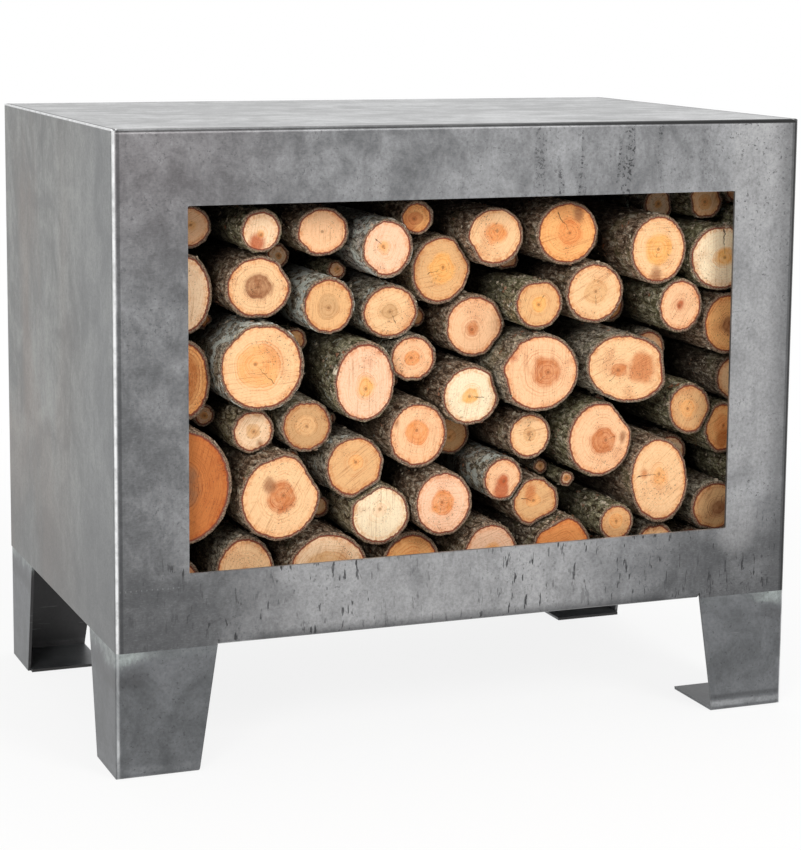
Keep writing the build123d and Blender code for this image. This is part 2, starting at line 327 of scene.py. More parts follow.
def shellSteel(look, facts):
    steel = Finish("shellSteel")
    place = steel.place()
    x, y, z = steel.parts(place)
    normal = steel.parts(steel.add("ShaderNodeNewGeometry").outputs["True Normal"])
    facesSide = steel.step(steel.unsigned(normal[0]), 0.6, 0.8)
    facesTop = steel.step(steel.unsigned(normal[2]), 0.6, 0.8)

    clouds = steel.noise(steel.stretched(place, (1, 1, 1.4)), 9, 5, 0.62, 0.9)
    patches = steel.noise(steel.stretched(place, (1.6, 1.6, 1)), 30, 6, 0.72, 0.5)
    grain = steel.noise(place, 330, 4, 0.75)
    linen = steel.noise(steel.stretched(place, (240, 240, 900)), 1.0, 2, 0.6)
    upright = steel.noise(steel.stretched(place, (20, 20, 1.8)), 3.0, 4, 0.6)
    across = steel.noise(steel.stretched(place, (1.3, 26, 6)), 3.6, 5, 0.62)

    # the front: clouds, painted darker on the left and lighter to the right as painted shade and light,
    # darker low in the corners, warmer high on the left
    mottle = steel.shares(clouds, 0.5, patches, 0.5)
    paintedLightSlope = steel.times(x, 0.2)
    steel.colour = steel.blend(
        steel.step(steel.plus(mottle, paintedLightSlope), 0.29, 0.74), look["frontDark"], look["frontLight"])
    warm = steel.times(steel.step(x, -0.12, -0.33), steel.step(z, 0.42, 0.58, 0.0, 0.26))
    steel.paint(warm, look["warmTint"])
    rail = steel.times(steel.step(z, 0.215, 0.18), steel.near(x, look["railMiddle"], 0.24, 0.12, 0.0, 0.6))
    stile = steel.times(steel.step(x, 0.27, 0.283), steel.step(z, 0.2, 0.3, 0.0, 0.5))
    paler = steel.times(steel.larger(rail, stile), steel.step(patches, 0.25, 0.6, 0.55, 1.0))
    steel.paint(paler, look["frontPale"])
    lowRight = steel.step(steel.plus(z, steel.times(clouds, 0.06)), 0.27, 0.2)
    toRight = steel.times(steel.step(x, 0.1, 0.26), lowRight)
    lowLeft = steel.step(steel.plus(z, steel.times(clouds, 0.05)), 0.25, 0.18)
    toLeft = steel.times(steel.step(x, -0.13, -0.27, 0.0, 0.7), lowLeft)
    corner = steel.larger(toRight, toLeft)
    steel.paint(steel.times(corner, steel.step(mottle, 0.3, 0.7, 0.95, 0.6)), look["low"])
    # upright flecks, dense in the lower rail, and pits
    fleckNoise = steel.noise(steel.stretched(place, (300, 300, 62)), 1.0, 2, 0.5)
    fleckZone = steel.step(z, 0.215, 0.19, 0.1, 1.0)
    flecks = steel.times(
        steel.step(fleckNoise, 0.63, 0.68), steel.times(fleckZone, steel.step(clouds, 0.4, 0.55, 0.3, 0.95)))
    pitNoise = steel.noise(place, 300, 2, 0.6)
    pits = steel.times(steel.step(pitNoise, 0.62, 0.69), steel.step(clouds, 0.42, 0.58, 0.15, 0.75))
    pits = steel.times(pits, steel.step(x, 0.24, 0.3, 0.55, 1.0))
    steel.paint(steel.larger(flecks, pits), look["scar"])
    # dark runs of pits in the top rail, right of the middle
    runNoise = steel.noise(steel.stretched(place, (46, 46, 9)), 1.0, 3, 0.6, 0.6)
    runZone = steel.times(steel.near(x, look["runsMiddle"], 0.13, 0.05), steel.step(z, 0.5, 0.53))
    runs = steel.times(steel.step(runNoise, 0.52, 0.6), runZone)
    runPits = steel.times(steel.step(steel.noise(place, 420, 2, 0.6), 0.54, 0.6), runs)
    steel.paint(steel.times(runs, 0.22), look["low"])
    steel.paint(steel.times(runPits, 0.9), look["scar"])
    # shade down the outer edge of the right stile, and a rubbed patch under the window's corner
    shade = steel.times(steel.step(x, 0.318, 0.342, 0.0, 0.62), steel.step(patches, 0.3, 0.6, 0.4, 1.0))
    steel.paint(shade, look["low"])
    rubX = steel.times(steel.minus(x, look["rubPlace"][0]), 34.0)
    rubZ = steel.times(steel.minus(z, look["rubPlace"][1]), 24.0)
    rubGap = steel.plus(steel.times(rubX, rubX), steel.times(rubZ, rubZ))
    steel.paint(steel.times(steel.step(rubGap, 1.0, 0.1), 0.4), look["frontPale"])
    # a row of small bright spatter marks beside the window's lower left corner
    spatter = steel.sine(steel.times(x, 1250.0))
    spatter = steel.times(
        steel.step(spatter, 0.55, 0.95), steel.near(z, look["spatterHeight"], 0.0011, 0.0005))
    steel.paint(steel.times(spatter, steel.step(x, -0.285, -0.292, 0.0, 0.11)), look["bright"])

    front = steel.colour
    # the sides take their own tones, painted as shade for faces turned from the lamps
    sideTone = steel.shares(upright, 0.1, mottle, 0.9)
    steel.colour = steel.blend(steel.step(sideTone, 0.38, 0.64), look["sideDark"], look["sideLight"])
    # browner to the rear, bluer to the front
    rust = steel.noise(steel.stretched(place, (4.5, 4.5, 2.2)), 1.6, 3, 0.5, 0.5)
    rust = steel.times(steel.step(rust, 0.42, 0.64, 0.0, 0.4), steel.step(y, -0.12, 0.1, 0.1, 1.0))
    steel.paint(rust, look["rust"])
    steel.paint(steel.step(y, -0.02, -0.2, 0.0, 0.35), look["cool"])
    steel.paint(steel.times(pits, 0.6), look["scar"])
    steel.paint(steel.step(z, 0.3, 0.12, 0.0, 0.4), look["low"])
    # the top takes lighter tones, painted light for the face that looks up to the lamps
    lidTone = steel.shares(across, 0.3, mottle, 0.7)
    lid = steel.blend(steel.step(lidTone, 0.42, 0.6), look["topDark"], look["topLight"])
    steel.colour = steel.blend(facesSide, front, steel.colour)
    steel.paint(facesTop, lid)
    steel.paint(steel.step(grain, 0.35, 0.75, 0.0, 0.34), look["scar"])
    steel.paint(steel.step(linen, 0.5, 0.75, 0.0, 0.05), look["bright"])

    # folds: a painted highlight on the middle of the round, in patches, with a line of painted shade inside
    # the front corners and a painted dark reflection along the top's front fold
    sideways = steel.minus(facts["halfWidth"], steel.unsigned(x))
    forward = steel.plus(y, facts["halfDepth"])
    below = steel.minus(facts["top"], z)
    nearFront = steel.step(forward, 0.0055, 0.0045)
    uprightFold = steel.times(nearFront, steel.near(sideways, forward, 0.0036, 0.0006))
    darkBand = steel.times(nearFront, steel.near(sideways, look["foldDarkInside"], 0.0022, 0.0008))
    patchyHighlight = steel.step(steel.noise(place, 60, 4, 0.7), 0.3, 0.6, 0.6, 1.0)
    foldWidth = steel.step(x, 0.0, 0.35, 0.0, 0.0008)
    levelFold = steel.times(nearFront, steel.step(steel.minus(below, foldWidth), 0.0038, 0.0024))
    steel.paint(steel.times(darkBand, 0.5), look["edgeDark"])
    steel.paint(steel.times(levelFold, steel.step(x, -0.35, 0.3, 0.6, 1.0)), look["foldDark"])
    steel.paint(steel.times(uprightFold, patchyHighlight), look["bright"])
    # the right fold turns away from the light and ends in a dark line
    toDark = steel.times(steel.step(x, 0.0, 0.1), steel.step(sideways, 0.0052, 0.0040))
    steel.paint(steel.times(toDark, steel.times(nearFront, 0.9)), look["foldDark"])
    # seams of the top: a dark slit, and outside it a thin painted highlight where the sheet's edge catches
    # the light
    slit = steel.times(facesTop, steel.near(sideways, look["slitInside"], 0.0018, 0.0009))
    steel.paint(steel.times(slit, 0.85), look["edgeDark"])
    ground = steel.times(steel.step(sideways, 0.0013, 0.0007), steel.step(below, 0.0022, 0.0012))
    steel.paint(steel.times(ground, patchyHighlight), look["bright"])
    # between the legs the fold under the front is painted dark, and so is the sheet just above it: painted
    # shade
    above = steel.minus(z, facts["underside"])
    under = steel.times(nearFront, steel.step(above, 0.013, 0.001, 0.0, 0.6))
    under = steel.times(under, steel.step(sideways, 0.125, 0.145))
    steel.paint(under, look["edgeDark"])

    rough = steel.plus(look["rough"] - 0.1, steel.times(patches, 0.22))
    height = steel.minus(steel.plus(steel.times(grain, 0.6), patches), pits)
    return steel.close(rough, steel.bump(height, 0.16, 0.0004), look["metallic"])


legLook = {
    "dark": tint(82, 84, 86), "light": tint(116, 118, 121), "bright": tint(212, 214, 216),
    "ground": tint(160, 168, 166), "heat": tint(58, 57, 59), "inside": tint(44, 42, 41),
    "scar": tint(44, 44, 46), "metallic": 0.5, "rough": 0.38,
    "heatBelow": 0.024, "footLightHeight": 0.0075, "footLineHeight": 0.015,     # metres
}


def legSteel(look, facts):
    steel = Finish("legSteel")
    place = steel.place()
    x, y, z = steel.parts(place)
    clouds = steel.noise(steel.stretched(place, (1, 1, 0.8)), 16, 5, 0.64, 0.9)
    brushed = steel.noise(steel.stretched(place, (30, 30, 30)), 1.0, 5, 0.7, 0.5)
    grain = steel.noise(place, 330, 4, 0.75)
    tone = steel.shares(clouds, 0.6, brushed, 0.4)
    steel.colour = steel.blend(steel.step(tone, 0.34, 0.68), look["dark"], look["light"])
    # the rear legs' wings show their inner faces to the front, and these are painted darker as shade
    normal = steel.parts(steel.add("ShaderNodeNewGeometry").outputs["True Normal"])
    inside = steel.times(steel.step(y, 0.0, 0.05), steel.step(normal[1], -0.5, -0.8))
    steel.paint(steel.times(inside, 0.85), look["inside"])
    # ground and heat-tinted band under the joint with the box
    wave = steel.swayed(clouds, 0.05)
    down = steel.plus(steel.minus(facts["underside"], z), wave)
    beside = steel.minus(facts["halfWidth"], steel.unsigned(x))
    swirl = steel.step(steel.plus(beside, wave), 0.045, 0.012, 0.12, 1.0)
    ground = steel.times(steel.step(down, 0.014, 0.003), steel.step(brushed, 0.35, 0.65, 0.2, 0.9))
    steel.paint(steel.times(ground, swirl), look["ground"])
    heat = steel.near(down, look["heatBelow"], 0.012, 0.002)
    steel.paint(steel.times(heat, steel.times(swirl, 0.4)), look["heat"])
    scratch = steel.noise(steel.stretched(place, (26, 26, 420)), 1.0, 2, 0.5)
    steel.paint(steel.step(scratch, 0.69, 0.76, 0.0, 0.08), look["bright"])
    # a painted highlight where the fold at the foot catches the light, with a line of painted shade above it
    footLight = steel.near(z, look["footLightHeight"], 0.0045, 0.001, 0.0, 0.32)
    atRight = steel.step(x, -0.1, 0.1, 0.12, 1.0)
    footLight = steel.times(footLight, steel.step(brushed, 0.3, 0.6, 0.4, 1.0))
    steel.paint(steel.times(footLight, atRight), look["bright"])
    footLine = steel.near(z, look["footLineHeight"], 0.004, 0.0005, 0.0, 0.4)
    steel.paint(steel.times(footLine, atRight), look["scar"])
    pits = steel.step(steel.noise(place, 300, 2, 0.6), 0.64, 0.71, 0.0, 0.45)
    steel.paint(pits, look["scar"])
    steel.paint(steel.step(grain, 0.35, 0.75, 0.0, 0.3), look["scar"])
    # a painted highlight down the round of each leg's upright fold
    sideways = steel.minus(facts["halfWidth"], steel.unsigned(x))
    forward = steel.minus(facts["halfDepth"], steel.unsigned(y))
    fold = steel.times(steel.step(forward, 0.0055, 0.0044), steel.near(sideways, forward, 0.0036, 0.0006))
    steel.paint(steel.times(fold, steel.step(clouds, 0.35, 0.6, 0.25, 0.8)), look["bright"])
    rough = steel.plus(look["rough"] - 0.06, steel.times(clouds, 0.16))
    height = steel.plus(steel.times(grain, 0.5), brushed)
    return steel.close(rough, steel.bump(height, 0.16, 0.0004), look["metallic"])


innerLook = {
    "dark": tint(84, 84, 86), "light": tint(138, 139, 140), "scar": tint(50, 50, 52),
    "metallic": 0.5, "rough": 0.44,
}


def innerSteel(look):
    # rear and floor panels, left as they came from the mill
    steel = Finish("innerSteel")
    place = steel.place()
    clouds = steel.noise(place, 11, 5, 0.6, 0.8)
    streaks = steel.noise(steel.stretched(place, (22, 22, 1.6)), 3.0, 4, 0.6)
    patches = steel.noise(place, 30, 6, 0.72, 0.5)
    tone = steel.shares(clouds, 0.5, patches, 0.36)
    tone = steel.plus(tone, steel.times(streaks, 0.14))
    steel.colour = steel.blend(steel.step(tone, 0.34, 0.66), look["dark"], look["light"])
    steel.paint(steel.step(steel.noise(place, 300, 2, 0.6), 0.63, 0.7, 0.0, 0.4), look["scar"])
    steel.paint(steel.step(steel.noise(place, 330, 4, 0.75), 0.35, 0.75, 0.0, 0.3), look["scar"])
    rough = steel.plus(look["rough"], steel.times(clouds, 0.14))
    return steel.close(rough, steel.bump(streaks, 0.12, 0.0004), look["metallic"])


weldLook = {
    "metal": tint(150, 148, 144), "burnt": tint(84, 72, 66), "metallic": 0.8, "rough": 0.34,
    "ripples": 98.726,     # scale of the wave
}


def weldSteel(look):
    # the ripples that a weld leaves as it sets, with burnt rims
    steel = Finish("weldSteel")
    place = steel.place()
    inputs = {"Vector": place, "Scale": look["ripples"], "Distortion": 1.2, "Detail": 2.0}
    ripple = steel.add("ShaderNodeTexWave", inputs, bands_direction="DIAGONAL").outputs["Fac"]
    burn = steel.step(steel.noise(place, 90, 3, 0.6), 0.42, 0.62)
    steel.colour = steel.blend(burn, look["metal"], look["burnt"])
    steel.paint(steel.times(ripple, 0.3), look["burnt"])
    return steel.close(look["rough"], steel.bump(ripple, 0.6, 0.0006), look["metallic"])


def dressSteel():
    finishes = {
        "folded_shell": shellSteel(shellLook, boxFacts),
        "rear_panel": innerSteel(innerLook),
        "leg_welds": weldSteel(weldLook),
    }
    finishes["floor_panel"] = finishes["rear_panel"]
    finishes["panel_welds"] = finishes["leg_welds"]
    finishes["front_left_leg"] = legSteel(legLook, boxFacts)
    for name in ("front_right_leg", "rear_left_leg", "rear_right_leg"):
        finishes[name] = finishes["front_left_leg"]
    for name, finish in finishes.items():
        node = frame["nodes"][name]
        node.data.materials.clear()
        node.data.materials.append(finish)


dressSteel()
print("steel finished")


# Logs: each is shaped from its CAD node's own outline, with bark, a sawn face and its own wood

woods = {
    "white": tint(244, 224, 190), "pale": tint(244, 210, 172), "cream": tint(240, 196, 148),
    "peach": tint(242, 194, 150), "pink": tint(242, 198, 164), "tan": tint(224, 176, 124),
    "amber": tint(238, 176, 112), "orange": tint(230, 152, 88), "rust": tint(190, 114, 58),
    "brown": tint(204, 128, 76), "umber": tint(158, 106, 70), "red": tint(186, 92, 48),
    "gold": tint(238, 178, 104), "grey": tint(204, 160, 112),
}
barks = {
    "brown": tint(186, 158, 132), "grey": tint(204, 194, 174), "pale": tint(244, 240, 232),
    "moss": tint(184, 178, 142), "dark": tint(158, 140, 120), "thin": tint(224, 206, 168),
}
# wood, heart, heart size, pith offset across and up, crack angle and length (0 is none),
# saw angle, bark, lichen
logLooks = {
    "a1": ("cream", "brown", 0.30, 0.05, -0.15, 100, 0.0, 80, "grey", 0.2),
    "a2": ("pale", "tan", 0.62, 0.0, -0.1, 0, 0.0, 70, "brown", 0.2),
    "a3": ("amber", "orange", 0.5, 0.0, -0.2, 0, 0.0, 30, "brown", 0.1),
    "a4": ("pink", "amber", 0.4, 0.1, 0.1, -30, 0.0, 20, "brown", 0.2),
    "a5": ("orange", "brown", 0.34, 0.0, 0.05, 0, 0.0, 10, "dark", 0.1),
    "a6": ("tan", "amber", 0.4, 0.0, 0.1, 0, 0.0, 5, "moss", 0.1),
    "a7": ("cream", "amber", 0.3, 0.1, -0.1, 0, 0.0, 45, "grey", 0.3),
    "a8": ("tan", "umber", 0.34, 0.3, -0.1, 60, 0.5, 60, "grey", 0.4),
    "b1": ("rust", "umber", 0.4, -0.25, 0.0, 70, 0.0, 75, "brown", 0.2),
    "b2": ("cream", "brown", 0.34, 0.1, 0.05, 45, 0.35, 60, "brown", 0.1),
    "b3": ("white", "pale", 0.22, 0.0, 0.25, 0, 0.0, 90, "thin", 0.0),
    "b4": ("pink", "orange", 0.38, -0.05, 0.05, 0, 0.0, 0, "brown", 0.1),
    "b5": ("peach", "red", 0.24, 0.1, -0.15, -100, 0.0, 45, "grey", 0.9),
    "b6": ("tan", "amber", 0.25, -0.1, 0.05, 165, 0.6, 20, "brown", 0.2),
    "b7": ("cream", "amber", 0.22, 0.0, 0.2, 172, 0.75, 40, "brown", 0.2),
    "c1": ("pale", "tan", 0.3, 0.05, 0.0, 0, 0.0, 55, "thin", 0.2),
    "c2": ("grey", "tan", 0.4, 0.0, 0.0, 0, 0.0, 40, "grey", 0.5),
    "c3": ("tan", "amber", 0.2, 0.05, 0.2, 0, 0.0, 35, "grey", 0.6),
    "c4": ("peach", "orange", 0.36, -0.05, 0.2, 0, 0.0, 80, "brown", 0.4),
    "c5": ("cream", "tan", 0.3, 0.0, 0.1, -70, 0.3, 10, "brown", 0.1),
    "c6": ("peach", "brown", 0.34, 0.25, -0.05, 10, 0.35, 60, "moss", 0.2),
    "c7": ("tan", "amber", 0.34, -0.1, 0.0, 75, 0.3, 65, "moss", 0.3),
    "c8": ("amber", "orange", 0.4, 0.1, 0.1, 0, 0.0, 30, "moss", 0.1),
    "d1": ("amber", "rust", 0.62, -0.3, 0.1, 0, 0.0, 60, "brown", 0.1),
    "d2": ("cream", "amber", 0.5, -0.2, 0.1, -50, 0.55, 5, "grey", 0.9),
    "d3": ("pink", "gold", 0.24, 0.05, -0.25, -100, 0.3, 90, "moss", 0.6),
    "d4": ("peach", "orange", 0.3, -0.1, 0.0, 0, 0.0, 50, "grey", 0.5),
    "d5": ("white", "gold", 0.26, -0.05, -0.05, -8, 0.5, 80, "brown", 0.3),
    "d6": ("peach", "brown", 0.38, 0.28, 0.0, -130, 0.25, 90, "grey", 0.2),
    "d7": ("cream", "brown", 0.2, -0.3, -0.05, -140, 0.5, 25, "grey", 0.4),
    "e1": ("tan", "grey", 0.4, 0.0, -0.1, 0, 0.0, 85, "grey", 1.0),
    "e2": ("cream", "grey", 0.3, 0.0, 0.0, -60, 0.5, 20, "grey", 0.7),
    "e3": ("peach", "brown", 0.16, -0.1, -0.15, 0, 0.0, 90, "brown", 0.2),
    "e4": ("tan", "gold", 0.3, 0.0, 0.0, 60, 0.4, 75, "moss", 0.4),
    "e5": ("cream", "tan", 0.4, 0.05, 0.05, -85, 0.45, 30, "brown", 0.2),
    "e6": ("peach", "red", 0.16, -0.05, 0.0, 0, 0.0, 60, "moss", 0.3),
    "e7": ("amber", "umber", 0.3, 0.2, 0.0, 50, 0.5, 55, "brown", 0.2),
    "f1": ("pale", "cream", 0.3, -0.2, 0.0, 0, 0.0, 85, "brown", 0.1),
    "f2": ("cream", "umber", 0.42, 0.0, 0.0, 20, 0.0, 80, "brown", 0.3),
    "f3": ("tan", "gold", 0.4, 0.1, 0.1, 200, 0.5, 10, "brown", 0.1),
    "f4": ("cream", "gold", 0.46, 0.0, 0.0, -100, 0.25, 0, "brown", 0.2),
    "f5": ("white", "gold", 0.3, 0.15, 0.0, 85, 0.9, 90, "moss", 0.3),
    "g1": ("pale", "amber", 0.2, 0.0, -0.25, 0, 0.0, 80, "moss", 0.2),
    "g2": ("peach", "peach", 0.2, 0.0, 0.0, 0, 0.0, 88, "brown", 0.2),
    "g3": ("pink", "amber", 0.2, -0.2, 0.1, 140, 0.5, 70, "pale", 0.8),
    "g4": ("amber", "brown", 0.4, -0.2, -0.1, 0, 0.0, 40, "brown", 0.1),
    "g5": ("cream", "orange", 0.32, 0.1, 0.25, 0, 0.0, 60, "brown", 0.2),
    "g6": ("amber", "orange", 0.42, 0.1, 0.0, 118, 0.75, 15, "brown", 0.1),
}
# a second heart or a stain: direction in degrees, share of the radius, size in metres, tone
logKnots = {
    "d7": (0, 0.5, 0.011, "brown"), "b2": (140, 0.42, 0.006, "umber"), "g1": (-105, 0.55, 0.009, "red"),
    "g4": (-140, 0.45, 0.009, "brown"), "b5": (-100, 0.42, 0.010, "red"), "f4": (-95, 0.78, 0.007, "umber"),
    "b7": (165, 0.5, 0.005, "brown"), "c6": (0, 0.66, 0.004, "umber"), "c8": (-90, 0.5, 0.008, "rust"),
    "a8": (-10, 0.5, 0.010, "umber"), "c1": (-60, 0.7, 0.004, "umber"), "d6": (150, 0.86, 0.003, "red"),
    "g6": (60, 0.7, 0.006, "umber"), "c4": (150, 0.8, 0.003, "umber"), "b6": (120, 0.4, 0.006, "brown"),
}
spareWoods = ("cream", "tan", "peach", "amber", "pale")
spareBarks = ("brown", "grey", "moss", "dark")
noKnot = (0, 0.0, 0.0, "brown")
barkSlot, woodSlot = 0, 1
logShape = {
    "around": 120,
    "aroundGrouped": 60,     # for the logs that share a node
    # rings of the cut face as shares of its radius, and of the bark in metres from the cut
    "faceRings": (0.1, 0.2, 0.31, 0.42, 0.53, 0.64, 0.74, 0.83, 0.9, 0.945, 0.975),
    "barkDepths": (
        0.0009, 0.003, 0.007, 0.013, 0.021, 0.031, 0.043, 0.058, 0.078,
        0.105, 0.14, 0.18, 0.225, 0.275, 0.325),
    "barkRelief": 0.0036,
    "faceTilt": 0.022,     # how far a cut is out of square, as a slope
}


def looseParts(node):
    # the corner points of every separate solid in a node
    mesh = node.data
    points = np.empty(len(mesh.vertices) * 3, np.float32)
    mesh.vertices.foreach_get("co", points)
    points = points.reshape(-1, 3)
    keys, inverse = np.unique(np.round(points * 2e4).astype(np.int64), axis=0, return_inverse=True)
    inverse = inverse.reshape(-1)
    group = np.arange(len(keys))
    edges = np.empty(len(mesh.edges) * 2, np.int32)
    mesh.edges.foreach_get("vertices", edges)
    ends = inverse[edges.reshape(-1, 2)]
    while True:
        lowest = np.minimum(group[ends[:, 0]], group[ends[:, 1]])
        before = group.copy()
        np.minimum.at(group, ends[:, 0], lowest)
        np.minimum.at(group, ends[:, 1], lowest)
        if (group == before).all():
            break
    return [keys[group == one] / 2e4 for one in np.unique(group)]


def outlineRadii(points, count):
    # the outline of the cut end round its middle, as radii at even angles
    front = points[points[:, 1] < points[:, 1].min() + 1e-4][:, [0, 2]]
    middle = (front.min(axis=0) + front.max(axis=0)) / 2
    angles = np.arctan2(front[:, 1] - middle[1], front[:, 0] - middle[0])
    ring = front[np.argsort(angles)]
    following = np.roll(ring, -1, axis=0)
    edge = following - ring
    outward = np.stack([edge[:, 1], -edge[:, 0]], axis=1)
    keep = np.linalg.norm(outward, axis=1) > 1e-6
    outward, ring = outward[keep], ring[keep]
    outward /= np.linalg.norm(outward, axis=1)[:, None]
    distance = ((ring - middle) * outward).sum(axis=1)
    turns = np.arange(count) * 2 * math.pi / count
    towards = np.stack([np.cos(turns), np.sin(turns)], axis=1)
    facing = towards @ outward.T
    reach = np.where(facing > 1e-4, distance[None, :] / np.maximum(facing, 1e-4), 1e9).min(axis=1)
    smooth = reach.copy()
    for _ in range(3):
        smooth = (np.roll(smooth, 1) + 2 * smooth + np.roll(smooth, -1)) / 4
    return middle, np.minimum(smooth, reach)


def waves(points, random, scale, count=10):
    # smooth seeded bumps, about -1 to 1, from sines in many directions
    total = np.zeros(len(points))
    for _ in range(count):
        direction = random.normal(size=3)
        direction /= np.linalg.norm(direction)
        total += np.sin(points @ (direction * scale * random.uniform(0.6, 1.6)) + random.uniform(0, 6.28))
    return total / count * 1.8


def logRings(points, pithShift, random, shape):
    # vertices ring by ring: pith, cut face, bark to the rear, rear face, rear middle
    count = shape["around"]
    middle, radii = outlineRadii(points, count)
    frontY, rearY = points[:, 1].min(), points[:, 1].max()
    turns = np.arange(count) * 2 * math.pi / count
    unitRing = np.stack([np.cos(turns), np.sin(turns)], axis=1)
    size = radii.mean()
    pith = middle + np.array(pithShift) * size * 0.8
    tilt = random.uniform(-1, 1, 2) * shape["faceTilt"]

    def cutDepth(flat):
        # how far the sawn face stands behind the foremost point
        slope = (flat - middle) @ tilt
        return 0.0004 + slope + size * abs(tilt).sum()

    rows, levels = [pith[None, :]], [0.0]
    depths = [cutDepth(pith[None, :])]
    face = middle + unitRing * (radii - 0.0008)[:, None]
    along = np.concatenate([face, np.zeros((count, 1))], axis=1)
    ragged = np.clip(waves(along, random, 600, 12), -1, 1) * 0.0006
    ragged = ragged + np.clip(waves(along, random, 1700, 12), -1, 1) * 0.0006
    face = face - unitRing * (0.0012 + ragged)[:, None]
    for level in (*shape["faceRings"], 1.0):
        flat = pith + (face - pith) * level
        rows.append(flat)
        levels.append(level)
        depths.append(cutDepth(flat) + (0.0005 if level == 1.0 else 0.0))
    rimDepth = cutDepth(face)
    vertices = [np.stack([row[:, 0], frontY + depth, row[:, 1]], axis=1) for row, depth in zip(rows, depths)]

    length = rearY - frontY
    backs = [depth for depth in shape["barkDepths"] if depth < length - 0.012] + [length - 0.004]
    for back in backs:
        share = 1 - back / length
        y = frontY + back + rimDepth * share
        probe = np.stack([unitRing[:, 0] * size, y * 0.35, unitRing[:, 1] * size], axis=1)
        state = np.random.default_rng(int(size * 1e7))
        ridges = 1 - np.abs(waves(probe, state, 330, 8))
        lumps = waves(probe, state, 90, 6)
        chips = np.clip(waves(probe, state, 900, 10), 0, 1)
        relief = shape["barkRelief"] * np.clip(
            0.35 + 0.4 * (1 - ridges) + 0.16 * lumps + 0.34 * chips, 0, 1)
        if back <= backs[0]:
            relief = relief * 0.7 + 0.0004
        flat = middle + unitRing * (radii - relief)[:, None]
        vertices.append(np.stack([flat[:, 0], y, flat[:, 1]], axis=1))
        levels.append(1.0)
    for level in (0.93, 0.5):
        flat = middle + unitRing * (radii * level)[:, None]
        vertices.append(np.stack([flat[:, 0], np.full(count, rearY - 0.0005), flat[:, 1]], axis=1))
        levels.append(level)
    vertices.append(np.array([[middle[0], rearY - 0.0005, middle[1]]]))
    levels.append(0.0)
    return vertices, levels, len(shape["faceRings"]) + 1, size


def logMesh(name, solids, looks, knot, shape):
    # one mesh for a node, from all its solids
    vertices, faces, slots, maps = [], [], [], []
    tones = ("woodTone", "heartTone", "barkTone", "knotTone")
    facts = {key: [] for key in (*tones, "heartFacts", "crackFacts", "knotFacts", "endDepth")}
    knotTurn, knotShare, knotSize, knotWood = knot
    count = shape["around"]
    for number, (points, look) in enumerate(zip(solids, looks)):
        random = np.random.default_rng(sum(ord(letter) for letter in name) * 31 + number * 7)
        wood, heart, heartSize, *pithShift, crackTurn, crackLength, sawTurn, bark, lichen = look
        rings, levels, faceCount, size = logRings(points, pithShift, random, shape)
        starts = []
        for ring in rings:
            starts.append(sum(len(one) for one in vertices))
            vertices.append(ring)
        total = sum(len(ring) for ring in rings)
        facts["endDepth"] += (np.concatenate(rings)[:, 1] - points[:, 1].min()).tolist()
        facts["knotTone"] += [woods[knotWood]] * total
        facts["knotFacts"] += [(math.radians(knotTurn), knotShare, knotSize)] * total
        facts["woodTone"] += [woods[wood]] * total
        facts["heartTone"] += [woods[heart]] * total
        facts["barkTone"] += [barks[bark]] * total
        facts["heartFacts"] += [(heartSize, size, lichen)] * total
        facts["crackFacts"] += [(math.radians(crackTurn), crackLength, math.radians(sawTurn))] * total
        last = len(rings) - 1
        for step in range(last):
            slot = woodSlot if step < faceCount or step >= last - 2 else barkSlot
            low, high = levels[step], levels[step + 1]
            near, far = starts[step], starts[step + 1]
            for turn in range(count):
                after = (turn + 1) % count
                left, right = turn / count, (turn + 1) / count
                if step == 0:
                    faces.append((far + turn, far + after, near))
                    maps += [(left, high), (right, high), ((left + right) / 2, 0.0)]
                elif step == last - 1:
                    faces.append((far, near + after, near + turn))
                    maps += [((left + right) / 2, 0.0), (right, low), (left, low)]
                else:
                    faces.append((far + turn, far + after, near + after, near + turn))
                    maps += [(left, high), (right, high), (right, low), (left, low)]
                slots.append(slot)
    mesh = bpy.data.meshes.new(name)
    mesh.from_pydata(np.concatenate(vertices).tolist(), [], faces)
    mesh.polygons.foreach_set("material_index", slots)
    mesh.polygons.foreach_set("use_smooth", [True] * len(faces))
    mesh.uv_layers.new(name="UVMap").data.foreach_set("uv", np.array(maps, np.float32).ravel())
    for key, values in facts.items():
        kind, field = ("FLOAT_COLOR", "color") if key.endswith("Tone") else ("FLOAT_VECTOR", "vector")
        if key == "endDepth":
            kind, field = "FLOAT", "value"
        layer = mesh.attributes.new(key, kind, "POINT")
        layer.data.foreach_set(field, np.array(values, np.float32).ravel())
    return mesh


